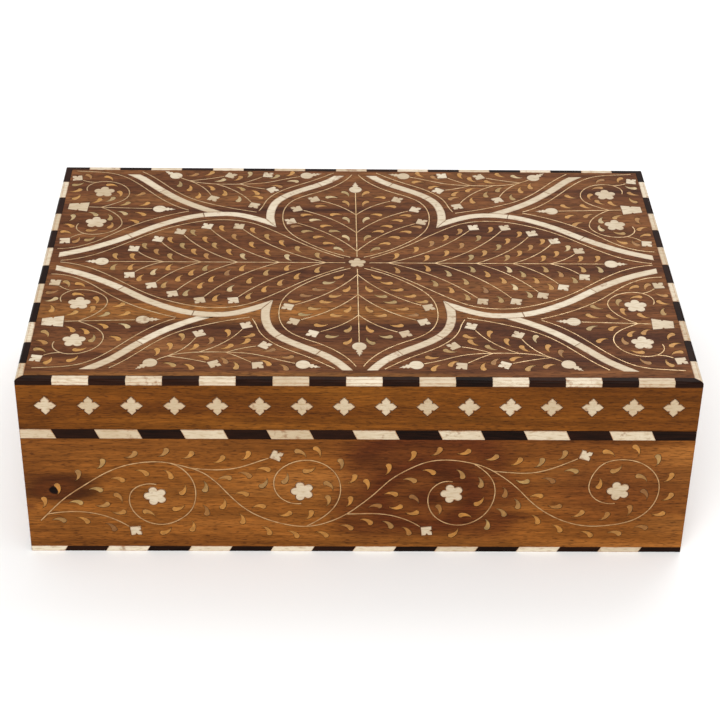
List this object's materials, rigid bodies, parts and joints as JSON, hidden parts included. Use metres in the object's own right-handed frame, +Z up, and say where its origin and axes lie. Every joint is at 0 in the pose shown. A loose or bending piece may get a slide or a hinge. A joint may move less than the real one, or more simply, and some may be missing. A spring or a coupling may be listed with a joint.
{
  "type": "inlaid wooden box",
  "caption": "Rectangular hinged sheesham box with a flat lid, inlaid with bone bands, flowers and blossoms, horn leaves and wire vines, and edged with bone and ebony tiles.",
  "frame": {"origin": "centre of the underside of the closed box", "axes": "+Z up, +X along the long side to the right as seen from the front, front faces -Y, lid closed"},
  "size_m": [0.305, 0.2, 0.097],
  "materials": {
    "dark_sheesham": "waxed",
    "sheesham": "waxed",
    "floor_board": "raw",
    "velvet": "pile",
    "ebony": "polished",
    "bone": "polished",
    "horn": "polished",
    "wire": "dull",
    "hinge_brass": "satin"
  },
  "bodies": {
    "base": {"base_back_blossoms": "bone", "base_back_flowers": "bone", "base_back_leaves": "horn", "base_back_stems": "wire", "base_back_wall": "sheesham", "base_floor": "floor_board", "base_front_blossoms": "bone", "base_front_flowers": "bone", "base_front_leaves": "horn", "base_front_stems": "wire", "base_front_wall": "sheesham", "base_hinge_screws": "hinge_brass", "base_left_blossoms": "bone", "base_left_flowers": "bone", "base_left_leaves": "horn", "base_left_stems": "wire", "base_left_wall": "sheesham", "base_right_blossoms": "bone", "base_right_flowers": "bone", "base_right_leaves": "horn", "base_right_stems": "wire", "base_right_wall": "sheesham", "floor_lining": "velvet", "foot_edging_bone": "bone", "foot_edging_ebony": "ebony", "left_hinge_base_leaf": "hinge_brass", "left_hinge_pin": "hinge_brass", "right_hinge_base_leaf": "hinge_brass", "right_hinge_pin": "hinge_brass", "rim_edging_bone": "bone", "rim_edging_ebony": "ebony"},
    "lid": {"left_hinge_lid_leaf": "hinge_brass", "lid_back_quatrefoils": "bone", "lid_back_rail": "sheesham", "lid_edging_bone": "bone", "lid_edging_ebony": "ebony", "lid_front_quatrefoils": "bone", "lid_front_rail": "sheesham", "lid_hinge_screws": "hinge_brass", "lid_left_quatrefoils": "bone", "lid_left_rail": "sheesham", "lid_lining": "velvet", "lid_right_quatrefoils": "bone", "lid_right_rail": "sheesham", "lid_top_bands": "bone", "lid_top_blossoms": "bone", "lid_top_buds": "bone", "lid_top_leaves": "horn", "lid_top_panel": "dark_sheesham", "lid_top_stems": "wire", "right_hinge_lid_leaf": "hinge_brass"}
  },
  "joints": [
    {"name": "lid_hinge", "type": "hinge", "parent": "base", "child": "lid", "pos_m": [0, 0.0975, 0.07015], "axis": [-1, 0, 0], "range_deg": [0, 100]}
  ]
}
